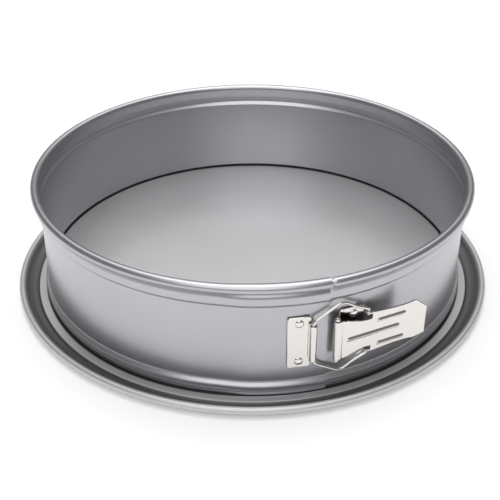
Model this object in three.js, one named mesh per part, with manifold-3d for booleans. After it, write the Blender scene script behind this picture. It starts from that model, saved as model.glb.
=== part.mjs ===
// Springform pan, 26 cm inside: a stamped base plate with a ledge, a drip channel
// and a rolled edge, a side band of spring steel whose ends overlap at the front, and
// an over-centre latch that draws the band tight around the base.
//
// Millimetres, +Z up. The origin is the centre of the base plate's underside.
// Azimuths are in degrees, measured from -Y towards +X, and the latch lever's
// hinge pin stands at azimuth 0.

import * as THREE from 'three';
import { mergeVertices } from 'three/addons/utils/BufferGeometryUtils.js';
import Module from 'manifold-3d';

const wasm = await Module();
wasm.setup();

// ---- driving dimensions ----
const TURN_STEPS = 64; // facets of every turned sheet
const SLACK = 0.4; // gap between pieces that lie on each other

const BAND_SHEET = 0.6; // sheet thickness of the side band
const BAND_RADIUS = 130.6; // middle of the sheet, along the straight wall
const BAND_LIP_Z = 2.3; // lower edge of the band
const BAND_HEIGHT = 74; // top of the rolled rim above the table
const BEAD_SWELL = 2; // how far the bead and the shoulder stand out
const RIM_ROLL = 2.6; // radius of the rolled rim
const RIM_OVER_ROLL = 3; // the same, where it wraps over the other end
const RIM_INNER_ROLL = 1.9; // the same, on the end that slides inside

const OUTER_END = -1.7; // azimuth where the outer end of the band stops
const JOGGLE = -19.3; // azimuth where the outer end steps out
const INNER_END = -18.7; // azimuth where the inner end of the band stops
const FLEX_GAP = 0.35; // gap at each side, where the band flexes

const BASE_SHEET = 0.8; // sheet thickness of the base plate
const PLATFORM_RADIUS = 130.5;
const PLATFORM_Z = 9; // the surface that the cake stands on
const LEDGE_RADIUS = 137.8; // the band stands over this ledge
const LEDGE_Z = 1.9;
const CHANNEL_INNER = 138.9;
const CHANNEL_OUTER = 141.5;
const BASE_ROLL_RADIUS = 147.95;
const BASE_ROLL_Z = 4.6;
const BASE_ROLL = 2.15;

const LATCH_Z = 36.3; // mid-height of every latch piece
const PLATE_SHEET = 0.9; // sheet thickness of brackets and lever
const PLATE_HALF_HEIGHT = 16.1;
const RIVET_SPREAD = 12.1; // height of a rivet above or below LATCH_Z
const RIVET_SHANK = 1.4;
const RIVET_HOLE = 1.75;
const RIVET_HEAD = 2.4;
const RIVET_DOME = 1.1;

const KEEPER_AZIMUTH = -8.5; // middle of the keeper plate
const KEEPER_AXIS_AZIMUTH = -5.5; // the bail turns on this vertical axis
const KEEPER_AXIS_RADIUS = 134.9;
const KEEPER_ROLL = 2.1;
const KEEPER_ROLL_HALF = 11.2;
const KEEPER_HALF_WIDTH = 6.4;

const HINGE_AXIS_RADIUS = 135.8; // the lever turns on this vertical axis
const HINGE_ROLL = 2; // outer radius of the lever's rolled end
const HINGE_PIN = 0.7;
const BRACKET_AZIMUTH = 3.7; // middle of the hinge bracket
const BRACKET_HALF_WIDTH = 8.4;
const BRACKET_RIVET_X = 2.2;
const KNUCKLE_HEIGHT = 1.1; // each of the bracket's two knuckles
const KNUCKLE_RADIUS = 1.5;

const LEVER_ANGLE = 7; // closed, from the tangent towards the band
const LEVER_HALF = 12.1; // half height of its rolled end
const LEVER_LENGTH = 47.4; // hinge axis to the bend of the finger tip
const LEVER_TIP = 6;
const LEVER_TIP_ANGLE = 27;
const LUG_X = 18.6; // hinge axis to the bail's pivot
const LUG_HOLE = 1.1;

const WIRE = 0.9; // radius of the bail wire
const BAIL_CORNER = 22; // half height of the bail at its shoulders
const BAIL_END = 14.3; // half height of the bail at its free ends

const rad = THREE.MathUtils.degToRad;
const outward = (azimuth, radius) =>
  new THREE.Vector3(radius * Math.sin(rad(azimuth)), -radius * Math.cos(rad(azimuth)), 0);

const coatedSteel = new THREE.MeshStandardMaterial({ color: 0xa6a6aa, roughness: 0.38, metalness: 0.75 });
const nickelPlate = new THREE.MeshStandardMaterial({ color: 0xdcd8d2, roughness: 0.16, metalness: 1 });

// ---- solids from three.js geometry ----

function solid(geometry) {
  const bare = geometry.index ? geometry.toNonIndexed() : geometry.clone();
  bare.deleteAttribute('normal');
  bare.deleteAttribute('uv');
  const merged = mergeVertices(bare, 1e-4);
  return new wasm.Manifold(new wasm.Mesh({
    numProp: 3,
    vertProperties: merged.attributes.position.array,
    triVerts: new Uint32Array(merged.index.array),
  }));
}

function geometryOf(body) {
  const { vertProperties, triVerts, numProp } = body.getMesh();
  const geometry = new THREE.BufferGeometry();
  const positions = new THREE.InterleavedBuffer(vertProperties, numProp);
  geometry.setAttribute('position', new THREE.InterleavedBufferAttribute(positions, 3, 0));
  geometry.setIndex(new THREE.BufferAttribute(triVerts, 1));
  return mergeVertices(geometry.toNonIndexed(), 1e-4);
}

function piece(name, body, material) {
  const mesh = new THREE.Mesh(geometryOf(body), material);
  mesh.name = name;
  return mesh;
}

// Turns a closed [radius, z] outline round the Z axis.
function turned(outline) {
  const points = outline.map(([r, z]) => new THREE.Vector2(r, z));
  if (outline[0][0] > 0) points.push(points[0].clone());
  return solid(new THREE.LatheGeometry(points, TURN_STEPS).rotateX(Math.PI / 2));
}

const shapeOf = (points) => new THREE.Shape(points.map(([x, y]) => new THREE.Vector2(x, y)));

// A slab with the given outline in X and Y, from z = low to z = high.
function slab(points, low, high, holes = []) {
  const shape = Array.isArray(points) ? shapeOf(points) : points;
  for (const [x, y, r] of holes) shape.holes.push(new THREE.Path().absarc(x, y, r, 0, 2 * Math.PI, true));
  const geometry = new THREE.ExtrudeGeometry(shape, { depth: high - low, bevelEnabled: false, curveSegments: 5 });
  return solid(geometry.translate(0, 0, low));
}

// The same slab stood up: its outline is in X and Z, and it runs from y = near to y = far.
function standingSlab(points, near, far, holes = []) {
  return slab(points, -far, -near, holes).rotate([90, 0, 0]);
}

function post(x, y, radius, low, high, sides = 12) {
  const geometry = new THREE.CylinderGeometry(radius, radius, high - low, sides);
  return solid(geometry.rotateX(Math.PI / 2).translate(x, y, (low + high) / 2));
}

// Everything between two azimuths.
function sector(from, to) {
  const reach = 200;
  const arc = Array.from({ length: 5 }, (_, i) => outward(from + ((to - from) * i) / 4, reach));
  return slab([[0, 0], ...arc.map((p) => [p.x, p.y])], -20, 120);
}

// Moves a line of [radius, z] points sideways, to its right-hand side.
function shifted(line, distance) {
  return line.map((point, i) => {
    const before = line[Math.max(i - 1, 0)];
    const after = line[Math.min(i + 1, line.length - 1)];
    const unit = (a, b) => {
      const length = Math.hypot(b[0] - a[0], b[1] - a[1]) || 1;
      return [(b[1] - a[1]) / length, -(b[0] - a[0]) / length];
    };
    const first = i > 0 ? unit(before, point) : unit(point, after);
    const second = i < line.length - 1 ? unit(point, after) : first;
    const share = distance / (1 + first[0] * second[0] + first[1] * second[1]);
    return [point[0] + share * (first[0] + second[0]), point[1] + share * (first[1] + second[1])];
  });
}

// The outline of a sheet whose middle runs along the line.
function sheetOutline(line, thickness) {
  return [...shifted(line, thickness / 2), ...shifted(line, -thickness / 2).reverse()];
}

function arc(x, y, radius, from, to, count) {
  return Array.from({ length: count + 1 }, (_, i) => {
    const a = rad(from + ((to - from) * i) / count);
    return [x + radius * Math.cos(a), y + radius * Math.sin(a)];
  });
}

// ---- base plate ----

function basePlate() {
  const half = BASE_SHEET / 2;
  const floor = half;
  const top = [
    [0, PLATFORM_Z - half],
    [PLATFORM_RADIUS - 1.6, PLATFORM_Z - half],
    [PLATFORM_RADIUS - half - 0.3, PLATFORM_Z - half - 0.7],
    [PLATFORM_RADIUS - half, PLATFORM_Z - half - 1.8],
    [PLATFORM_RADIUS - half, LEDGE_Z - half],
    [LEDGE_RADIUS - 0.8, LEDGE_Z - half],
    [LEDGE_RADIUS - 0.3, LEDGE_Z - half - 0.2],
    [CHANNEL_INNER, floor],
    [CHANNEL_OUTER, floor],
    [144.6, 1.8],
    [BASE_ROLL_RADIUS - 1.2, BASE_ROLL_Z + 0.6],
  ];
  const upper = shifted(top, -half);
  const lower = shifted(top, half);
  const roll = arc(BASE_ROLL_RADIUS, BASE_ROLL_Z, BASE_ROLL, 205, -140, 8);
  return turned([...lower, ...roll.reverse(), ...upper.reverse()]);
}

// ---- side band ----

// Middle of the sheet from the lower lip to just under the rim.
function wallLine() {
  const lip = BAND_RADIUS + 0.8;
  const swell = BAND_RADIUS + BEAD_SWELL;
  return [
    [lip, BAND_LIP_Z],
    [lip, 4.4],
    [swell - 0.3, 6],
    [swell, 7.4],
    [swell - 0.5, 8.5],
    [BAND_RADIUS + 0.2, 9.8],
    [BAND_RADIUS, 10.7],
    [BAND_RADIUS, 58.6],
    [BAND_RADIUS + 0.4, 59.9],
    [swell - 0.4, 61.3],
    [swell, 62.6],
    [swell, 67.8],
  ];
}

const RIM_R = BAND_RADIUS + 2.4;
const RIM_Z = BAND_HEIGHT - RIM_ROLL;

// A wall that carries a solid rolled rim of the given radius.
function wallWithRoll(shift, thickness, roll) {
  const line = shifted(wallLine(), shift);
  return turned([
    ...shifted(line, thickness / 2),
    ...arc(RIM_R, RIM_Z, roll, -78, 248, 9),
    ...shifted(line, -thickness / 2).reverse(),
  ]);
}

// The outer end of the band: its rim is an open curl that the inner end's rim slides in.
function wallWithCurl() {
  const shift = BAND_SHEET + SLACK;
  const curl = arc(RIM_R, RIM_Z, RIM_OVER_ROLL - BAND_SHEET / 2, -72, 215, 9);
  return turned(sheetOutline([...shifted(wallLine(), shift), ...curl], BAND_SHEET));
}

function bandBack(wall) {
  return wall.intersect(standingSlab([[-200, -10], [200, -10], [200, 100], [-200, 100]], FLEX_GAP / 2, 200));
}

function front(body) {
  return body.intersect(standingSlab([[-200, -10], [200, -10], [200, 100], [-200, 100]], -200, -FLEX_GAP / 2));
}

// The two holes for the rivets of a bracket, in the bracket's own place round the band.
function rivetHoles(azimuth, x) {
  const [lower, upper] = [-1, 1].map((side) => {
    const bore = new THREE.CylinderGeometry(RIVET_HOLE, RIVET_HOLE, 12, 12);
    return solid(bore.translate(x, -BAND_RADIUS, LATCH_Z + side * RIVET_SPREAD));
  });
  return lower.add(upper).rotate([0, 0, azimuth]);
}

function bandLeft(wall) {
  const web = wallWithRoll((BAND_SHEET + SLACK) / 2, 2 * BAND_SHEET + SLACK, RIM_OVER_ROLL);
  const single = front(wall).intersect(sector(-95, JOGGLE));
  const step = web.intersect(sector(JOGGLE - 0.3, JOGGLE + 0.3));
  const overlap = wallWithCurl().intersect(sector(JOGGLE - 0.1, OUTER_END));
  return single.add(step).add(overlap).subtract(rivetHoles(KEEPER_AZIMUTH, 0));
}

function bandRight(wall) {
  const shoulder = OUTER_END + 0.3;
  const single = front(wall).intersect(sector(shoulder, 95));
  const inner = wallWithRoll(0, BAND_SHEET, RIM_INNER_ROLL).intersect(sector(INNER_END, shoulder + 0.1));
  return single.add(inner).subtract(rivetHoles(BRACKET_AZIMUTH, BRACKET_RIVET_X));
}

// ---- latch: each piece is made round its own place, then a group turns it there ----

function rivet(underHead, innerEnd, innerHead) {
  const dome = [
    [0, innerEnd],
    ...(innerHead ? [[RIVET_HEAD - 0.5, innerEnd], [RIVET_HEAD - 0.5, innerEnd + 0.5]] : [[RIVET_SHANK, innerEnd]]),
    [RIVET_SHANK, innerEnd + (innerHead ? 0.5 : 0.1)],
    [RIVET_SHANK, underHead],
    [RIVET_HEAD, underHead],
    [RIVET_HEAD, underHead + 0.3],
    [RIVET_HEAD * 0.72, underHead + RIVET_DOME * 0.8],
    [0, underHead + RIVET_DOME],
  ];
  const geometry = new THREE.LatheGeometry(dome.map(([r, y]) => new THREE.Vector2(r, y)), 12);
  return solid(geometry.rotateX(Math.PI));
}

// A plate's rounded rectangle in X and Z.
function plateShape(left, right, corner) {
  const bottom = LATCH_Z - PLATE_HALF_HEIGHT;
  const top = LATCH_Z + PLATE_HALF_HEIGHT;
  return shapeOf([
    ...arc(right - corner, top - corner, corner, 0, 90, 3),
    ...arc(left + corner, top - corner, corner, 90, 180, 3),
    ...arc(left + corner, bottom + corner, corner, 180, 270, 3),
    ...arc(right - corner, bottom + corner, corner, 270, 360, 3),
  ]);
}

const KEEPER_FACE = BAND_RADIUS + 1.5 * BAND_SHEET + 2 * SLACK; // inner face, from the pan's axis
const BRACKET_FACE = BAND_RADIUS + BAND_SHEET / 2 + SLACK;

function keeperPlate() {
  const rivets = [-1, 1].map((side) => [0, LATCH_Z + side * RIVET_SPREAD, RIVET_HOLE]);
  const plate = standingSlab(
    plateShape(-KEEPER_HALF_WIDTH, KEEPER_HALF_WIDTH - 0.5, 1.6), -KEEPER_FACE - PLATE_SHEET, -KEEPER_FACE, rivets,
  );
  const axis = outward(KEEPER_AXIS_AZIMUTH - KEEPER_AZIMUTH, KEEPER_AXIS_RADIUS);
  const low = LATCH_Z - KEEPER_ROLL_HALF;
  const high = LATCH_Z + KEEPER_ROLL_HALF;
  const tongue = slab([
    [KEEPER_HALF_WIDTH - 1.5, -KEEPER_FACE], [KEEPER_HALF_WIDTH - 1.5, -KEEPER_FACE - PLATE_SHEET],
    [axis.x, -KEEPER_FACE - PLATE_SHEET - 0.4], [axis.x, axis.y + KEEPER_ROLL - 0.02],
    [KEEPER_HALF_WIDTH, -KEEPER_FACE],
  ].reverse(), low, high);
  const roll = post(axis.x, axis.y, KEEPER_ROLL, low, high, 16);
  const bore = post(axis.x, axis.y, WIRE + 0.35, low - 1, high + 1);
  return plate.add(tongue).add(roll).subtract(bore);
}

function hingeBracket() {
  const rivets = [-1, 1].map((side) => [BRACKET_RIVET_X, LATCH_Z + side * RIVET_SPREAD, RIVET_HOLE]);
  const left = -BRACKET_HALF_WIDTH + 2.4;
  const plate = standingSlab(
    plateShape(left, BRACKET_HALF_WIDTH, 1.6), -BRACKET_FACE - PLATE_SHEET, -BRACKET_FACE, rivets,
  );
  const axis = outward(-BRACKET_AZIMUTH, HINGE_AXIS_RADIUS);
  const outer = -BRACKET_FACE - PLATE_SHEET;
  const riser = [
    [left + 2, -BRACKET_FACE], [left + 0.4, -BRACKET_FACE], [axis.x - 0.5, axis.y + KNUCKLE_RADIUS - 0.3],
    [axis.x + 0.9, axis.y + 1.15], [left + 0.8, outer], [left + 2, outer],
  ];
  const knuckles = [1, -1].map((side) => {
    const near = LATCH_Z + side * (LEVER_HALF + SLACK);
    const far = near + side * KNUCKLE_HEIGHT;
    const ends = [Math.min(near, far), Math.max(near, far)];
    const roll = post(axis.x, axis.y, KNUCKLE_RADIUS, ...ends, 16);
    const bore = post(axis.x, axis.y, HINGE_PIN + 0.3, ends[0] - 1, ends[1] + 1);
    return roll.add(slab([...riser].reverse(), ...ends)).subtract(bore);
  });
  return plate.add(knuckles[0]).add(knuckles[1]);
}

function hingePin() {
  const reach = LEVER_HALF + 2 * SLACK + KNUCKLE_HEIGHT;
  const shaft = post(0, -HINGE_AXIS_RADIUS, HINGE_PIN, LATCH_Z - reach - 0.2, LATCH_Z + reach + 0.2);
  const head = post(0, -HINGE_AXIS_RADIUS, HINGE_PIN + 0.5, LATCH_Z + reach, LATCH_Z + reach + 0.5);
  const foot = post(0, -HINGE_AXIS_RADIUS, HINGE_PIN + 0.5, LATCH_Z - reach - 0.5, LATCH_Z - reach);
  return shaft.add(head).add(foot);
}

// The lever, with its hinge axis on the Z axis, its length along +X and its face towards -Y.
function leverBody() {
  const face = -HINGE_ROLL;
  const back = face + PLATE_SHEET;
  const bend = rad(LEVER_TIP_ANGLE);
  const tip = [LEVER_LENGTH + LEVER_TIP * Math.cos(bend), -LEVER_TIP * Math.sin(bend)];
  const strip = slab([
    [0, face], [LEVER_LENGTH, face], [tip[0], face + tip[1]],
    [tip[0] + 0.4, back + tip[1]], [LEVER_LENGTH + 0.2, back], [0, back],
  ], -20, 20);
  // Half of the outline, from the rolled end to the finger tip: distance from the axis, half height.
  const edge = [
    [0, LEVER_HALF], [3, 12], [9, 10.6], [16, 9], [20.2, 8.6], [20.2, 12.7], [27, 12], [34, 11.5],
    [40, 11.5], [44.5, 11.9], [LEVER_LENGTH + 0.5, 12.4], [tip[0] + 1, 8.4],
  ];
  const outline = [...edge.map(([x, z]) => [x, -z]), ...edge.map(([x, z]) => [x, z]).reverse()];
  const blade = strip.intersect(standingSlab(outline, -12, 5));
  const roll = post(0, 0, HINGE_ROLL, -LEVER_HALF, LEVER_HALF, 16);
  const bore = post(0, 0, HINGE_ROLL - PLATE_SHEET, -20, 20);
  const lugs = [1, -1].map((side) => {
    const ends = [side * 11.8, side * 12.7].sort((a, b) => a - b);
    const outline = [[16.8, face], [21.4, face], [21.4, 0.6], [20.4, 1.7], [16.8, 1.7]];
    return slab(outline, ...ends, [[LUG_X, 0, LUG_HOLE]]);
  });
  const ribs = [[21, 0, 33, 1.3], [32, 7.1, 18, 1], [32, -7.1, 18, 1]].map(([x, z, length, radius]) => {
    const capsule = new THREE.CapsuleGeometry(radius, length - 2 * radius, 3, 8);
    return solid(capsule.rotateZ(Math.PI / 2).scale(1, 0.6 / radius, 1).translate(x, face, z));
  });
  const whole = [roll, ...lugs].reduce((sum, next) => sum.add(next), blade).subtract(bore);
  const skin = slab([[-5, face - 5], [70, face - 5], [70, face + 0.4], [-5, face + 0.4]], -20, 20);
  return ribs.reduce((sum, rib) => sum.add(rib.intersect(skin)), whole);
}

// The bail, with its keeper axis on the Z axis and its free ends at +X.
function bailBody(length) {
  const half = [
    [length, BAIL_END - 0.9], [length - 0.1, BAIL_END], [length - 1.2, BAIL_END + 1], [length - 8, 18.4],
    [18.6, BAIL_CORNER - 0.8], [16, BAIL_CORNER], [13.4, BAIL_CORNER - 0.6], [10.6, BAIL_CORNER - 2.1],
    [6, 16.4], [1.6, 13.5], [0.3, 12.5], [0, 11.4], [0, 4],
  ];
  const route = [...half, ...half.map(([x, z]) => [x, -z]).reverse()];
  const points = route.map(([x, z]) => new THREE.Vector3(x, 0, z));
  const path = new THREE.CatmullRomCurve3(points, false, 'centripetal');
  const section = shapeOf(arc(0, 0, WIRE, 0, 300, 5));
  return solid(new THREE.ExtrudeGeometry(section, { steps: 48, extrudePath: path }));
}

// ---- assembly ----

const pan = new THREE.Group();

const wall = wallWithRoll(0, BAND_SHEET, RIM_ROLL);
pan.add(
  piece('base_plate', basePlate(), coatedSteel),
  piece('band_back', bandBack(wall), coatedSteel),
  piece('band_left', bandLeft(wall), coatedSteel),
  piece('band_right', bandRight(wall), coatedSteel),
);

function rivetPair(name, x, underHead, innerEnd, innerHead) {
  return [['upper', 1], ['lower', -1]].map(([place, side]) => {
    const mesh = piece(`${name}_${place}`, rivet(underHead, innerEnd, innerHead), nickelPlate);
    mesh.position.set(x, 0, LATCH_Z + side * RIVET_SPREAD);
    return mesh;
  });
}

const keeperSide = new THREE.Group();
keeperSide.rotation.z = rad(KEEPER_AZIMUTH);
const keeperRivetEnd = BAND_RADIUS + BAND_SHEET / 2 + SLACK; // clear of the band's inner end
keeperSide.add(
  piece('keeper_plate', keeperPlate(), nickelPlate),
  ...rivetPair('keeper_rivet', 0, KEEPER_FACE + PLATE_SHEET + 0.3, keeperRivetEnd, false),
);

const hingeSide = new THREE.Group();
hingeSide.rotation.z = rad(BRACKET_AZIMUTH);
const bracketRivetEnd = BAND_RADIUS - BAND_SHEET / 2 - 0.9; // headed over inside the band
hingeSide.add(
  piece('hinge_bracket', hingeBracket(), nickelPlate),
  ...rivetPair('bracket_rivet', BRACKET_RIVET_X, BRACKET_FACE + PLATE_SHEET + 0.3, bracketRivetEnd, true),
);

const lever = piece('lever', leverBody(), nickelPlate);
lever.position.copy(outward(0, HINGE_AXIS_RADIUS)).setZ(LATCH_Z);
lever.rotation.z = rad(LEVER_ANGLE);

const keeperAxis = outward(KEEPER_AXIS_AZIMUTH, KEEPER_AXIS_RADIUS);
const lugAxis = outward(0, HINGE_AXIS_RADIUS).add(
  new THREE.Vector3(LUG_X * Math.cos(rad(LEVER_ANGLE)), LUG_X * Math.sin(rad(LEVER_ANGLE)), 0),
);
const reach = lugAxis.clone().sub(keeperAxis);
const bail = piece('bail', bailBody(reach.length()), nickelPlate);
bail.position.copy(keeperAxis).setZ(LATCH_Z);
bail.rotation.z = Math.atan2(reach.y, reach.x);

pan.add(keeperSide, hingeSide, piece('hinge_pin', hingePin(), nickelPlate), lever, bail);

export default pan;
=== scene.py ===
import math

import bmesh
import bpy
import numpy as np
from mathutils import Matrix, Vector


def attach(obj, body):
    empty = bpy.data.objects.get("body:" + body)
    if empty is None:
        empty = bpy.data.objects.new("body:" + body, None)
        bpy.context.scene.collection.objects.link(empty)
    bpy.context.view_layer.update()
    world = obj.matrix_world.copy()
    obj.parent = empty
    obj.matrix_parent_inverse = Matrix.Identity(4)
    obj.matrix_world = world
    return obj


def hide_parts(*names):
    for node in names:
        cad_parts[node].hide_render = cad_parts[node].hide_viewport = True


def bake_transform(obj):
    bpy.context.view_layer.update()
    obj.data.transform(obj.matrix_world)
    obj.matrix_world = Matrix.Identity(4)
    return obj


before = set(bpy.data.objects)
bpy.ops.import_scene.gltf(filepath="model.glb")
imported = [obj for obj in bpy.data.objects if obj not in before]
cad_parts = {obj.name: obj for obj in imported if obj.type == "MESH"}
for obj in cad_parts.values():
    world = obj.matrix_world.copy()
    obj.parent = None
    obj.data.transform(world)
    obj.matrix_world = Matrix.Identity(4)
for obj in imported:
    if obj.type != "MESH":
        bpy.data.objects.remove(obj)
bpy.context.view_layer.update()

# Lengths below are in millimetres and become metres where a mesh is made. Angles are in degrees.
# Azimuths run from -Y towards +X, and the latch's hinge pin stands at azimuth 0.
MM = 0.001

# ---- sizes ----

STEPS = 384  # facets in a full turn of the pan

BAND_SHEET = 0.6
BAND_RADIUS = 130.6  # middle of the sheet, along the straight wall
BAND_LIP_Z = 2.3
LIP_STEP = 0.8  # the lip stands this far outside the wall
LIP_TOP_Z = 4.4
BEAD_SWELL = 2.0
BEAD_LOW_Z = 5.9
BEAD_HIGH_Z = 8.4
WALL_LOW_Z = 10.6
WALL_HIGH_Z = 59.4
SHOULDER_LOW_Z = 61.4
SHOULDER_HIGH_Z = 65.6
RIM_RADIUS = BAND_RADIUS + 2.4  # middle of the rolled rim
RIM_Z = 71.4
RIM_ROLL = 2.3  # middle of the sheet, round the rim
RIM_OVER_ROLL = 2.7
RIM_INNER_ROLL = 1.6
LAP_LIFT = 1.0  # how far the outer end stands off the inner one
OUTER_END = -1.7
JOGGLE_START = -28.0
JOGGLE = -19.0
INNER_END = -18.7

BASE_SHEET = 0.8
PLATFORM_RADIUS = 130.5
PLATFORM_Z = 9.0
BASE_ROLL_RADIUS = 147.9
BASE_ROLL_Z = 4.6
BASE_ROLL = 1.7
LEDGE_RADIUS = 137.8
LEDGE_Z = 1.9
CHANNEL_RADIUS = 141.8
FLANGE_RADIUS = 145.0
FLANGE_Z = 1.9

LATCH_Z = 36.3
PLATE_SHEET = 0.9
PLATE_HALF_HEIGHT = 16.1
PLATE_CORNER = 1.7
PLATE_EDGE = 0.18
RIVET_SPREAD = 12.1
RIVET_HEAD = 2.4
RIVET_SHANK = 1.4
RIVET_TAIL = 2.4  # length below the head's seat
RIVET_DOME = 1.05
RIVET_TOP = 1.06
KEEPER_AZIMUTH = -8.5
KEEPER_LEFT = -6.4
KEEPER_RIGHT = 6.3
KEEPER_AXIS_AZIMUTH = -5.5
KEEPER_AXIS_RADIUS = 134.9
KEEPER_ROLL = 1.65
KEEPER_ROLL_HALF = 11.2
KEEPER_FACE = 132.3
BRACKET_FACE = 131.3
BRACKET_AZIMUTH = 3.7
BRACKET_LEFT = -6.0
BRACKET_RIGHT = 8.4
HINGE_AXIS_RADIUS = 135.8
HINGE_ROLL = 1.55
HINGE_PIN = 0.7
EAR = 1.1  # height of the bracket's two ears
EAR_ROLL = 1.1
EAR_SHEET = 0.75
EAR_GAP = 0.4
LEVER_HALF = 12.1
LEVER_ANGLE = 7.0
LEVER_LENGTH = 47.4
LEVER_TIP = 6.0
LEVER_TIP_ANGLE = 27.0
LEVER_COLUMNS = 141
LEVER_ROLL_STEPS = 34
TONGUE_HALF = 8.6
TONGUE_END = 20.2
CREASE_DEPTH = 0.4
CREASE_X = 2.6
CREASE_WIDTH = 0.7
RIB_HEIGHT = 0.95
RIBS = (  # centre x, centre z, length, width
    (21.4, -0.5, 33.8, 1.6),
    (32.2, 6.7, 19, 1.4),
    (32.4, -8.6, 18, 1.4),
)
LUG_X = 18.6  # where the bail turns
LUG_LEFT = 16.9
LUG_RIGHT = 21.3
LUG_BACK = -1.9
LUG_FRONT = 1.7
LUG_CORNER = 1.9
LUG_INNER_Z = 11.8
LUG_OUTER_Z = 12.7
WIRE = 0.9


# ---- lines and profiles ----

def filleted(corners, steps=7):
    """A line through the corners (x, y, radius). Each corner becomes an arc that touches both its sides."""
    xy = np.array([c[:2] for c in corners], float)
    parts = [xy[:1]]
    radii = [c[2] for c in corners[1:-1]]
    for before, here, after, radius in zip(xy[:-2], xy[1:-1], xy[2:], radii):
        come = (here - before) / np.linalg.norm(here - before)
        go = (after - here) / np.linalg.norm(after - here)
        turn = math.atan2(come[0] * go[1] - come[1] * go[0], come @ go)
        if abs(turn) < 1e-6 or radius == 0:
            parts.append(here[None])
            continue
        start = here - come * radius * math.tan(abs(turn) / 2)
        side = np.array([-come[1], come[0]]) * math.copysign(radius, turn)
        angle = np.linspace(0, turn, steps + 1)[:, None]
        parts.append(start + side - side * np.cos(angle) + come * radius * np.sin(np.abs(angle)))
    return np.vstack([*parts, xy[-1:]])


def arc(x, y, radius, start, end, count):
    """Points at even angles round a circle."""
    a = np.radians(np.linspace(start, end, count + 1))
    return np.stack([x + radius * np.cos(a), y + radius * np.sin(a)], 1)


def offset(line, distance):
    """The line moved to its right. Each point goes along the mean normal of its two sides."""
    step = np.diff(line, axis=0)
    step /= np.linalg.norm(step, axis=1)[:, None]
    side = np.stack([step[:, 1], -step[:, 0]], 1)
    before, after = np.vstack([side[:1], side]), np.vstack([side, side[-1:]])
    return line + (before + after) * (distance / (1 + (before * after).sum(1)))[:, None]


def sheet_outline(line, thickness):
    """Both faces of a sheet whose middle runs along the line, with a half round over each free edge."""
    half = thickness / 2
    swing = np.radians(np.array([60, 30, 0, -30, -60]))[:, None]

    def edge(point, direction):
        right = np.array([direction[1], -direction[0]])
        return point + half * (np.cos(swing) * direction + np.sin(swing) * right)

    last = line[-1] - line[-2]
    first = line[0] - line[1]
    return np.vstack([
        offset(line, half),
        edge(line[-1], last / np.linalg.norm(last)),
        offset(line, -half)[::-1],
        edge(line[0], first / np.linalg.norm(first)),
    ])


def rounded_box(left, right, bottom, top, radius):
    """A closed outline: four straight sides and four quarter circles."""
    return np.vstack([
        arc(right - radius, top - radius, radius, 0, 90, 6),
        arc(left + radius, top - radius, radius, 90, 180, 6),
        arc(left + radius, bottom + radius, radius, 180, 270, 6),
        arc(right - radius, bottom + radius, radius, 270, 360, 6),
    ])


def smooth(x, start, end):
    """0 before start and 1 after end, by the curve 3t^2 - 2t^3 between them."""
    t = np.clip((x - start) / (end - start), 0, 1)
    return t * t * (3 - 2 * t)


# ---- surfaces ----

def turned(outline, azimuths):
    """A profile of (radius, z) points carried round the Z axis: (r sin a, -r cos a, z)."""
    a = np.radians(azimuths)[:, None]
    outline = np.broadcast_to(outline, (len(azimuths), *outline.shape[-2:]))
    r, z = outline[..., 0], outline[..., 1]
    return np.stack([r * np.sin(a), -r * np.cos(a), z], -1)


def prism(outline, low, high, edge):
    """A closed (x, y) outline carried from z = low to z = high, drawn in by the edge at both ends."""
    closed = np.vstack([outline[-1:], outline, outline[:1]])
    following = np.roll(outline, -1, axis=0)
    area = np.sum(outline[:, 0] * following[:, 1] - outline[:, 1] * following[:, 0])
    inner = offset(closed, -math.copysign(edge, area))[1:-1]
    rows = [(inner, low), (outline, low + edge), (outline, high - edge), (inner, high)]
    return np.stack([np.column_stack([xy, np.full(len(xy), z)]) for xy, z in rows])


def standing(points):
    """A prism's points stood up: its outline lies in X and Z, and its length runs along Y."""
    return np.stack([points[..., 0], points[..., 2], points[..., 1]], -1)


def tube(path, radius, sides=20):
    """A round section carried along a flat path of (x, z) points. The path's normal and Y are its axes."""
    along = np.gradient(path, axis=0)
    along /= np.linalg.norm(along, axis=1)[:, None]
    a = np.linspace(0, 2 * math.pi, sides, endpoint=False)
    x = path[:, :1] - along[:, 1:] * radius * np.cos(a)
    z = path[:, 1:] + along[:, :1] * radius * np.cos(a)
    return np.stack([x, np.broadcast_to(radius * np.sin(a), x.shape), z], -1)


def placed(points, azimuth=0.0, at=(0.0, 0.0, 0.0)):
    """Points turned about the Z axis and then moved."""
    a = math.radians(azimuth)
    x, y, z = np.moveaxis(points, -1, 0)
    turned_x = x * math.cos(a) - y * math.sin(a)
    turned_y = x * math.sin(a) + y * math.cos(a)
    return np.stack([turned_x, turned_y, z], -1) + np.array(at)


def quads(points, wrap_u, wrap_v, first):
    """Index of four neighbours for every cell of a grid, and round its seam where it wraps."""
    rows, columns = points.shape[:2]
    index = np.arange(rows * columns).reshape(rows, columns) + first
    index = np.vstack([index, index[:1]]) if wrap_u else index
    index = np.hstack([index, index[:, :1]]) if wrap_v else index
    return np.stack([index[:-1, :-1], index[:-1, 1:], index[1:, 1:], index[1:, :-1]], -1).reshape(-1, 4)


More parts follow.
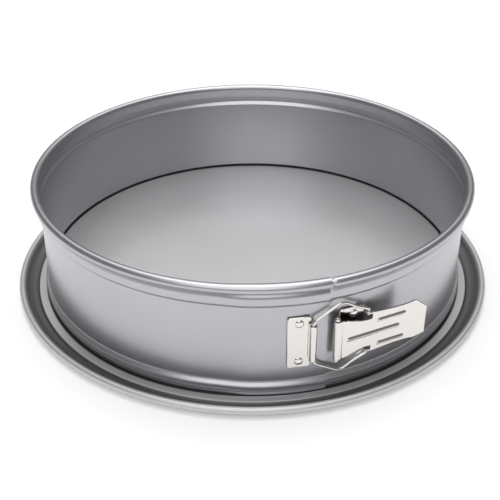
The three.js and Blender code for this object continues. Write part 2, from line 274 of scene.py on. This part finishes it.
def piece(name, grids, material, crease=35):
    """One mesh from grids (points, wrap_u, wrap_v, capped), in millimetres. Caps are flat faces."""
    vertices, faces, first = [], [], 0
    for points, wrap_u, wrap_v, capped in grids:
        faces += quads(points, wrap_u, wrap_v, first).tolist()
        rows, columns = points.shape[:2]
        if capped:
            faces.append(list(range(first, first + columns)))
            faces.append(list(range(first + (rows - 1) * columns, first + rows * columns)))
        vertices.append(points.reshape(-1, 3))
        first += rows * columns
    mesh = bpy.data.meshes.new(name)
    mesh.from_pydata(np.vstack(vertices) * MM, [], faces)
    shape = bmesh.new()
    shape.from_mesh(mesh)
    bmesh.ops.remove_doubles(shape, verts=shape.verts, dist=1e-7)
    bmesh.ops.recalc_face_normals(shape, faces=shape.faces)
    shape.to_mesh(mesh)
    shape.free()
    mesh.shade_smooth()
    mesh.set_sharp_from_angle(angle=math.radians(crease))
    mesh.materials.append(material)
    made = bpy.data.objects.new(name, mesh)
    bpy.context.scene.collection.objects.link(made)
    return made


# ---- materials ----

def metal(name, colour, roughness, metallic=1.0):
    """A metal's Principled shader, with the helpers that its finish is built with."""
    material = bpy.data.materials.new(name)
    material.use_nodes = True
    tree = material.node_tree
    shader = tree.nodes["Principled BSDF"]
    shader.inputs["Base Color"].default_value = (*colour, 1)
    shader.inputs["Metallic"].default_value = metallic
    shader.inputs["Roughness"].default_value = roughness
    return material, tree, shader


def grain(tree, scale, detail, low, high, stretch=(1, 1, 1)):
    """Noise on Object coordinates, stretched along the axes and spread between two values."""
    where = tree.nodes.new("ShaderNodeTexCoord")
    turn = tree.nodes.new("ShaderNodeMapping")
    turn.inputs["Scale"].default_value = stretch
    noise = tree.nodes.new("ShaderNodeTexNoise")
    noise.inputs["Scale"].default_value = scale
    noise.inputs["Detail"].default_value = detail
    spread = tree.nodes.new("ShaderNodeMapRange")
    spread.inputs["From Min"].default_value = 0.3
    spread.inputs["From Max"].default_value = 0.7
    spread.inputs["To Min"].default_value = low
    spread.inputs["To Max"].default_value = high
    tree.links.new(where.outputs["Object"], turn.inputs["Vector"])
    tree.links.new(turn.outputs["Vector"], noise.inputs["Vector"])
    tree.links.new(noise.outputs["Fac"], spread.inputs["Value"])
    return spread.outputs["Result"]


def bumped(tree, shader, height, strength, distance):
    """The height pushed into the shader's normal."""
    bump = tree.nodes.new("ShaderNodeBump")
    bump.inputs["Strength"].default_value = strength
    bump.inputs["Distance"].default_value = distance
    tree.links.new(height, bump.inputs["Height"])
    tree.links.new(bump.outputs["Normal"], shader.inputs["Normal"])


def tinted(tree, shader, factor, dark, light):
    """The base colour mixed between two tones by the factor."""
    mix = tree.nodes.new("ShaderNodeMix")
    mix.data_type = "RGBA"
    mix.inputs["A"].default_value = (*dark, 1)
    mix.inputs["B"].default_value = (*light, 1)
    tree.links.new(factor, mix.inputs["Factor"])
    tree.links.new(mix.outputs["Result"], shader.inputs["Base Color"])


def by_radius(tree, tones):
    """A grey tone that follows the distance from the Z axis, from pairs of radius and tone."""
    where = tree.nodes.new("ShaderNodeTexCoord")
    flat = tree.nodes.new("ShaderNodeVectorMath")
    flat.operation = "MULTIPLY"
    flat.inputs[1].default_value = (1, 1, 0)
    length = tree.nodes.new("ShaderNodeVectorMath")
    length.operation = "LENGTH"
    spread = tree.nodes.new("ShaderNodeMapRange")
    spread.inputs["From Min"].default_value = tones[0][0] * MM
    spread.inputs["From Max"].default_value = tones[-1][0] * MM
    ramp = tree.nodes.new("ShaderNodeValToRGB")
    stops = ramp.color_ramp.elements
    for radius, tone in tones:
        share = (radius - tones[0][0]) / (tones[-1][0] - tones[0][0])
        stop = stops[-1] if share == 1 else stops[0] if share == 0 else stops.new(share)
        stop.color = (tone, tone, tone, 1)
    tree.links.new(where.outputs["Object"], flat.inputs[0])
    tree.links.new(flat.outputs["Vector"], length.inputs[0])
    tree.links.new(length.outputs["Value"], spread.inputs["Value"])
    tree.links.new(spread.outputs["Result"], ramp.inputs["Fac"])
    return ramp.outputs["Color"]


def multiplied(material, tone):
    """The base colour multiplied by a tone."""
    tree = material.node_tree
    socket = tree.nodes["Principled BSDF"].inputs["Base Color"]
    mix = tree.nodes.new("ShaderNodeMix")
    mix.data_type = "RGBA"
    mix.blend_type = "MULTIPLY"
    mix.inputs["Factor"].default_value = 1
    tree.links.new(socket.links[0].from_socket, mix.inputs["A"])
    tree.links.new(tone, mix.inputs["B"])
    tree.links.new(mix.outputs["Result"], socket)


def nonstick_coating(name, dark, light, low, high, metallic):
    """Satin grey non-stick coating: a fine pebble, and broad faint clouds in tone and roughness."""
    material, tree, shader = metal(name, light, low, metallic)
    tinted(tree, shader, grain(tree, 22, 4, 0, 1), dark, light)
    tree.links.new(grain(tree, 60, 3, low, high), shader.inputs["Roughness"])
    bumped(tree, shader, grain(tree, 1800, 2, 0, 1), 0.12, 0.00004)
    return material


def nickel_plate(name, colour, low, high, ripple):
    """Bright plating over pressed steel: nearly a mirror, with a slow ripple and a fine haze."""
    material, tree, shader = metal(name, colour, low)
    tree.links.new(grain(tree, 300, 5, low, high), shader.inputs["Roughness"])
    bumped(tree, shader, grain(tree, 160, 1, 0, 1), ripple, 0.0002)
    return material


base_finish = nonstick_coating(
    "nonstick_base", dark=(0.57, 0.565, 0.575), light=(0.59, 0.585, 0.595),
    low=0.42, high=0.46, metallic=0.65,
)
# Radius and tone. Painted shade: the tone falls in the crevice under the band's lip and in the drip channel,
# and rises a little above 1 on the rolled edge.
painted_shade_tones = [
    (130.0, 1.0), (131.0, 0.08), (133.0, 0.08), (133.7, 1.0), (137.6, 1.0), (138.2, 0.15), (142.0, 0.28),
    (145.0, 0.5), (146.6, 1.1), (151.0, 1.1),
]
# The painted shade darkens the base's colour by radius.
multiplied(base_finish, by_radius(base_finish.node_tree, painted_shade_tones))
band_finish = nonstick_coating(
    "nonstick_band", dark=(0.49, 0.49, 0.515), light=(0.51, 0.51, 0.535),
    low=0.30, high=0.33, metallic=0.92,
)
plate_finish = nickel_plate("nickel_plate", (0.78, 0.75, 0.72), 0.07, 0.14, 0.35)
rivet_finish = nickel_plate("rivet_steel", (0.8, 0.78, 0.76), 0.08, 0.14, 0.1)
wire_finish = nickel_plate("drawn_wire", (0.76, 0.745, 0.72), 0.12, 0.22, 0.15)


# ---- base plate ----

def base_plate():
    """The stamped sheet turned round the axis: platform, ledge, drip channel, flange and rolled edge."""
    half = BASE_SHEET / 2
    pressed = filleted([
        (0, PLATFORM_Z - half, 0),
        (PLATFORM_RADIUS - half, PLATFORM_Z - half, 0.9),
        (PLATFORM_RADIUS - half, LEDGE_Z - half, 0.8),
        (LEDGE_RADIUS - 0.2, LEDGE_Z - half, 0.45),
        (LEDGE_RADIUS + 0.9, half, 0.6),
        (CHANNEL_RADIUS, half, 4),
        (FLANGE_RADIUS, FLANGE_Z, 5),
        (BASE_ROLL_RADIUS - 1.85, BASE_ROLL_Z + 0.2, 0),
    ])
    roll = arc(BASE_ROLL_RADIUS, BASE_ROLL_Z, BASE_ROLL, 160, -170, 26)
    outline = sheet_outline(np.vstack([pressed, roll]), BASE_SHEET)
    outline[:, 0] = np.maximum(outline[:, 0], 0)
    grid = turned(outline, np.linspace(0, 360, STEPS, endpoint=False))
    return piece("base_sheet", [(grid, True, True, False)], base_finish)


# ---- side band ----

def band_line(lift, roll):
    """Middle of the band's sheet: lip, bead, straight wall, shoulder, and the rim that curls outwards."""
    wall = BAND_RADIUS + lift
    swell = wall + BEAD_SWELL
    meet = math.radians(205)  # where the rim's curl begins
    pressed = filleted([
        (wall + LIP_STEP, BAND_LIP_Z, 0),
        (wall + LIP_STEP, LIP_TOP_Z, 1.3),
        (swell, BEAD_LOW_Z, 1.4),
        (swell, BEAD_HIGH_Z, 1.8),
        (wall, WALL_LOW_Z, 2.4),
        (wall, WALL_HIGH_Z, 1.2),
        (swell, SHOULDER_LOW_Z, 1.6),
        (swell, SHOULDER_HIGH_Z, 4),
        (RIM_RADIUS + roll * math.cos(meet), RIM_Z + roll * math.sin(meet), 0),
    ])
    return np.vstack([pressed, arc(RIM_RADIUS, RIM_Z, roll, 195, -92, 26)])


def half_band(name, azimuths, end, share):
    """Half of the band: the plain section carried round, mixed into the end's own section by the share."""
    plain = sheet_outline(band_line(0, RIM_ROLL), BAND_SHEET)
    outlines = plain + share[:, None, None] * (sheet_outline(band_line(*end), BAND_SHEET) - plain)
    return piece(name, [(turned(outlines, azimuths), False, True, True)], band_finish)


def outer_half():
    """The left half, whose end steps out at the joggle and laps over the other."""
    azimuths = np.concatenate([
        np.linspace(-180, -30, 152),
        np.linspace(-29.4, JOGGLE - 0.2, 26),
        np.linspace(JOGGLE, OUTER_END, 30),
    ])
    share = smooth(azimuths, JOGGLE_START, JOGGLE)
    return half_band("band_outer_half", azimuths, (LAP_LIFT, RIM_OVER_ROLL), share)


def inner_half():
    """The right half, whose rim is rolled tighter inside the other. Under the rim the two sheets cross."""
    azimuths = np.concatenate([
        np.linspace(INNER_END, OUTER_END + 0.2, 20),
        np.linspace(OUTER_END + 0.3, OUTER_END + 1.2, 8),
        np.linspace(OUTER_END + 1.6, 180, STEPS // 2 - 8),
    ])
    share = 1 - smooth(azimuths, OUTER_END + 0.2, OUTER_END + 1.2)
    return half_band("band_inner_half", azimuths, (0, RIM_INNER_ROLL), share)


# ---- latch ----

def outward(azimuth, radius):
    """The point at a radius from the Z axis: (r sin a, -r cos a, 0)."""
    a = math.radians(azimuth)
    return np.array([radius * math.sin(a), -radius * math.cos(a), 0])


def rivet(name, azimuth, x, face, side):
    """A shank and a domed head, quarter of an ellipse, turned round a line that points out of the band."""
    swing = np.linspace(0.15, 1.5, 12)
    dome = np.vstack([
        [[0, -RIVET_TAIL], [RIVET_SHANK, -RIVET_TAIL], [RIVET_SHANK, -0.1]],
        [[RIVET_HEAD - 0.1, -0.1], [RIVET_HEAD, 0.05]],
        np.stack([RIVET_HEAD * np.cos(swing), RIVET_DOME * np.sin(swing)], 1),
        [[0, RIVET_TOP]],
    ])
    a = np.linspace(0, 2 * math.pi, 40, endpoint=False)[:, None]
    grid = np.stack([
        x + dome[:, 0] * np.cos(a),
        np.broadcast_to(-face - dome[:, 1], (len(a), len(dome))),
        LATCH_Z + side * RIVET_SPREAD + dome[:, 0] * np.sin(a),
    ], -1)
    return piece(name, [(placed(grid, azimuth), True, False, False)], rivet_finish)


def riveted_plate(left, right, face):
    """A flat plate with rounded corners, as a prism through the sheet, that stands on a face of the band."""
    low, high = LATCH_Z - PLATE_HALF_HEIGHT, LATCH_Z + PLATE_HALF_HEIGHT
    outline = rounded_box(left, right, low, high, PLATE_CORNER)
    return prism(outline, -(face + PLATE_SHEET), -face, PLATE_EDGE)


def keeper():
    """A riveted plate whose tongue rolls forward round the bail's bar and back to the plate."""
    plate = riveted_plate(KEEPER_LEFT, KEEPER_RIGHT, KEEPER_FACE)
    axis = outward(KEEPER_AXIS_AZIMUTH - KEEPER_AZIMUTH, KEEPER_AXIS_RADIUS)
    roll = np.vstack([
        [[5.0, -KEEPER_FACE - PLATE_SHEET / 2]],
        arc(axis[0], axis[1], KEEPER_ROLL, 62, -190, 30),
    ])
    tongue = prism(
        sheet_outline(roll, PLATE_SHEET), LATCH_Z - KEEPER_ROLL_HALF, LATCH_Z + KEEPER_ROLL_HALF, 0.15,
    )
    grids = [(placed(g, KEEPER_AZIMUTH), False, True, True) for g in (standing(plate), tongue)]
    return piece("keeper_sheet", grids, plate_finish)


def hinge_bracket():
    """A riveted plate with two thin ears rolled round the hinge pin, above and below the lever."""
    plate = riveted_plate(BRACKET_LEFT, BRACKET_RIGHT, BRACKET_FACE)
    axis = outward(-BRACKET_AZIMUTH, HINGE_AXIS_RADIUS)
    roll = np.vstack([
        [[BRACKET_LEFT + 2.0, -BRACKET_FACE - PLATE_SHEET / 2]],
        [[BRACKET_LEFT + 0.9, -BRACKET_FACE - PLATE_SHEET / 2]],
        arc(axis[0], axis[1], EAR_ROLL, 20, 330, 30),
    ])
    grids = [(placed(standing(plate), BRACKET_AZIMUTH), False, True, True)]
    for side in (1, -1):
        near = LEVER_HALF + EAR_GAP
        low, high = sorted((LATCH_Z + side * near, LATCH_Z + side * (near + EAR)))
        ear = prism(sheet_outline(roll, EAR_SHEET), low, high, 0.12)
        grids.append((placed(ear, BRACKET_AZIMUTH), False, True, True))
    return piece("bracket_sheet", grids, plate_finish)


def hinge_pin():
    """A shaft turned round the hinge axis, with a low domed head at each end."""
    reach = LEVER_HALF + 0.8 + EAR
    head = np.array([
        [HINGE_PIN, reach], [1.15, reach], [1.2, reach + 0.15], [0.95, reach + 0.4], [0, reach + 0.5],
    ])
    shaft = np.vstack([head[::-1] * [1, -1], head])
    a = np.linspace(0, 2 * math.pi, 28, endpoint=False)[:, None]
    grid = np.stack([
        shaft[:, 0] * np.cos(a), shaft[:, 0] * np.sin(a), np.broadcast_to(shaft[:, 1], (len(a), len(shaft))),
    ], -1)
    return piece(
        "hinge_pin_shaft", [(placed(grid, 0, (0, -HINGE_AXIS_RADIUS, LATCH_Z)), True, False, False)],
        rivet_finish,
    )


def lever_half_height(x):
    """Half of the lever's height at a distance from its hinge: a waisted tongue, the handle and its tip."""
    tongue = TONGUE_HALF + (LEVER_HALF - TONGUE_HALF) * (1 - smooth(x, 0, 19)) ** 1.3
    tip = LEVER_LENGTH + 5.3
    edge_x = [TONGUE_END, 27, 34, 40, 44.5, LEVER_LENGTH + 0.3, tip]
    edge_h = [12.6, 12.0, 11.5, 11.5, 11.8, 12.3, 8.6]
    return np.where(x < TONGUE_END, tongue, np.interp(x, edge_x, edge_h))


def rib(x, z, centre_x, centre_z, length, width):
    """A long round-ended bump: height falls off with the distance from a short line, as a cosine."""
    along = np.clip(np.abs(x - centre_x) - (length / 2 - width), 0, None)
    away = np.hypot(along, z - centre_z) / width
    return np.where(away < 1, 0.5 + 0.5 * np.cos(math.pi * np.clip(away, 0, 1)), 0)


def lever():
    """A sheet rolled round the pin, creased beside it, flat with three raised ribs, and bent at the tip."""
    bend = math.radians(LEVER_TIP_ANGLE)
    middle = HINGE_ROLL
    run = np.concatenate([np.linspace(0.2, 20.15, 90), np.linspace(TONGUE_END, LEVER_LENGTH - 1.5, 130)])
    crease = CREASE_DEPTH * np.exp(-(((run - CREASE_X) / CREASE_WIDTH) ** 2))
    flat = np.stack([run, -middle + crease], 1)
    tip = filleted([
        (LEVER_LENGTH - 1.4, -middle, 0), (LEVER_LENGTH, -middle, 2.5),
        (LEVER_LENGTH + LEVER_TIP * math.cos(bend), -middle - LEVER_TIP * math.sin(bend), 0),
    ])
    tip = np.vstack([tip[:-1], tip[-2] + (tip[-1] - tip[-2]) * np.linspace(0.05, 1, 16)[:, None]])
    line = np.vstack([arc(0, 0, middle, 12, 270, LEVER_ROLL_STEPS), flat, tip])
    step = np.gradient(line, axis=0)
    step /= np.linalg.norm(step, axis=1)[:, None]
    out = np.stack([step[:, 1], -step[:, 0]], 1)
    # Columns stand closer together towards the lever's two long edges.
    crowding = 0.985
    across = np.sin(np.linspace(-1, 1, LEVER_COLUMNS) * math.pi / 2 * crowding)
    across = across / math.sin(math.pi / 2 * crowding)
    x = np.where(np.arange(len(line)) <= LEVER_ROLL_STEPS, 0, line[:, 0])
    z = lever_half_height(x)[:, None] * across
    raised = RIB_HEIGHT * sum(rib(x[:, None], z, *shape) for shape in RIBS)

    def face(shift):
        at = line[:, None] + out[:, None] * (shift + raised)[..., None]
        return np.stack([at[..., 0], at[..., 1], z], -1)

    half_sheet = PLATE_SHEET / 2
    # One loop round the section: the front from bottom to top, then the back from top to bottom.
    loop = np.concatenate([face(half_sheet), face(-half_sheet)[:, ::-1]], 1)
    grids = [(loop, False, True, True)]
    outline = filleted([
        (LUG_LEFT, LUG_BACK, 0), (LUG_RIGHT, LUG_BACK, 0), (LUG_RIGHT, LUG_FRONT, LUG_CORNER),
        (LUG_LEFT, LUG_FRONT, LUG_CORNER), (LUG_LEFT, LUG_BACK, 0),
    ])
    for side in (1, -1):
        low, high = sorted((side * LUG_INNER_Z, side * LUG_OUTER_Z))
        grids.append((prism(outline[:-1], low, high, 0.12), False, True, True))
    place = outward(0, HINGE_AXIS_RADIUS) + np.array([0, 0, LATCH_Z])
    grids = [(placed(g, LEVER_ANGLE, place), u, v, c) for g, u, v, c in grids]
    return piece("lever_sheet", grids, plate_finish, 50)


def bail():
    """Wire bent flat: a bar in the keeper, two shoulders, and two ends that run into the solid lugs."""
    axis = outward(KEEPER_AXIS_AZIMUTH, KEEPER_AXIS_RADIUS)
    turn = math.radians(LEVER_ANGLE)
    lug = outward(0, HINGE_AXIS_RADIUS) + np.array([LUG_X * math.cos(turn), LUG_X * math.sin(turn), 0])
    reach = np.linalg.norm(lug - axis)
    upper = [
        (reach, 11.3, 0), (reach, 14.4, 1.3), (reach - 8, 18.0, 12),
        (16, 22.8, 6), (1.2, 13.9, 2.4), (0, 11.2, 1.2),
    ]
    path = filleted(upper + [(u, -w, r) for u, w, r in reversed(upper)], 9)
    azimuth = math.degrees(math.atan2(*(lug - axis)[1::-1]))
    grid = placed(tube(path, WIRE), azimuth, axis + np.array([0, 0, LATCH_Z]))
    return piece("bail_wire", [(grid, False, True, True)], wire_finish, 60)


def ride(made, body, *nodes):
    """The piece takes the place of the nodes and moves with the body."""
    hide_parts(*nodes)
    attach(made, body)


ride(base_plate(), "base", "base_plate")

# The band is one strip of spring steel, drawn as two halves. They stay where they are drawn and are not
# attached to the ring's bodies.
outer, inner = outer_half(), inner_half()
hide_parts("band_left", "band_back")
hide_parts("band_right", "band_back")
for half_ring, body in ((outer, "ring_left"), (inner, "ring_right")):
    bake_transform(half_ring)

ride(keeper(), "ring_left", "keeper_plate")
ride(hinge_bracket(), "ring_right", "hinge_bracket")
ride(hinge_pin(), "ring_right", "hinge_pin")
for side, place in ((1, "upper"), (-1, "lower")):
    ride(
        rivet(f"keeper_rivet_{place}_head", KEEPER_AZIMUTH, 0, KEEPER_FACE + PLATE_SHEET, side),
        "ring_left", f"keeper_rivet_{place}",
    )
    ride(
        rivet(f"bracket_rivet_{place}_head", BRACKET_AZIMUTH, 2.2, BRACKET_FACE + PLATE_SHEET, side),
        "ring_right", f"bracket_rivet_{place}",
    )
ride(lever(), "lever", "lever")
ride(bail(), "bail", "bail")


# ---- studio ----

# Distances in this section are in metres.
CAMERA_AZIMUTH = -19.06
CAMERA_DISTANCE = 0.52432
CAMERA_HEIGHT = 0.33662
CAMERA_PITCH = 31.73
LENS = 67.82
LENS_SHIFT = -0.0048
SENSOR_WIDTH = 36
FLOOR_REACH = 6.0
PAPER_GLOW = 0.19
AIR_LIGHT = 0.2
LAMP_AIM_Z = 0.03


def studio_floor():
    """A flat square of white paper, with a corner at each sign of the reach. It glows faintly."""
    mesh = bpy.data.meshes.new("studio_floor")
    corners = [(x * FLOOR_REACH, y * FLOOR_REACH, 0) for x, y in ((-1, -1), (1, -1), (1, 1), (-1, 1))]
    mesh.from_pydata(corners, [], [(0, 1, 2, 3)])
    material, tree, shader = metal("white_paper", (0.93, 0.93, 0.93), 0.9, 0.0)
    shader.inputs["Specular IOR Level"].default_value = 0.1
    shader.inputs["Emission Color"].default_value = (1, 1, 1, 1)
    shader.inputs["Emission Strength"].default_value = PAPER_GLOW
    bumped(tree, shader, grain(tree, 900, 2, 0, 1), 0.02, 0.0001)
    mesh.materials.append(material)
    made = bpy.data.objects.new("studio_floor", mesh)
    bpy.context.scene.collection.objects.link(made)


def soft_light(name, azimuth, distance, height, width, power):
    """A square area light that faces the pan. Its azimuth is measured from the camera's own."""
    lamp = bpy.data.lights.new(name, "AREA")
    lamp.size = width
    lamp.energy = power
    made = bpy.data.objects.new(name, lamp)
    place = Vector(outward(CAMERA_AZIMUTH + azimuth, distance)) + Vector((0, 0, height))
    made.location = place
    made.rotation_euler = (Vector((0, 0, LAMP_AIM_Z)) - place).to_track_quat("-Z", "Y").to_euler()
    bpy.context.scene.collection.objects.link(made)


def studio_camera():
    """A long lens that looks down at the pan, a little to the left of its latch."""
    lens = bpy.data.cameras.new("studio_camera")
    lens.sensor_width = SENSOR_WIDTH
    lens.lens = LENS
    lens.shift_x = LENS_SHIFT
    lens.clip_start = 0.01
    made = bpy.data.objects.new("studio_camera", lens)
    turn = Matrix.Rotation(math.radians(CAMERA_AZIMUTH), 4, "Z")
    tilt = Matrix.Rotation(math.radians(90 - CAMERA_PITCH), 4, "X")
    made.matrix_world = turn @ Matrix.Translation((0, -CAMERA_DISTANCE, CAMERA_HEIGHT)) @ tilt
    bpy.context.scene.collection.objects.link(made)
    bpy.context.scene.camera = made


def studio_world(strength):
    """Even white light from all sides."""
    world = bpy.data.worlds.new("studio_air")
    world.use_nodes = True
    background = world.node_tree.nodes["Background"]
    background.inputs["Color"].default_value = (1, 1, 1, 1)
    background.inputs["Strength"].default_value = strength
    bpy.context.scene.world = world


studio_floor()
studio_camera()
studio_world(AIR_LIGHT)
soft_light("back_box", azimuth=180, distance=0.65, height=1.5, width=1.9, power=14.5)
soft_light("top_box", azimuth=180, distance=0.05, height=1.6, width=1.2, power=7)
soft_light("front_box", azimuth=-8, distance=1.4, height=1.5, width=1.9, power=16)
bpy.context.scene.view_settings.view_transform = "Standard"
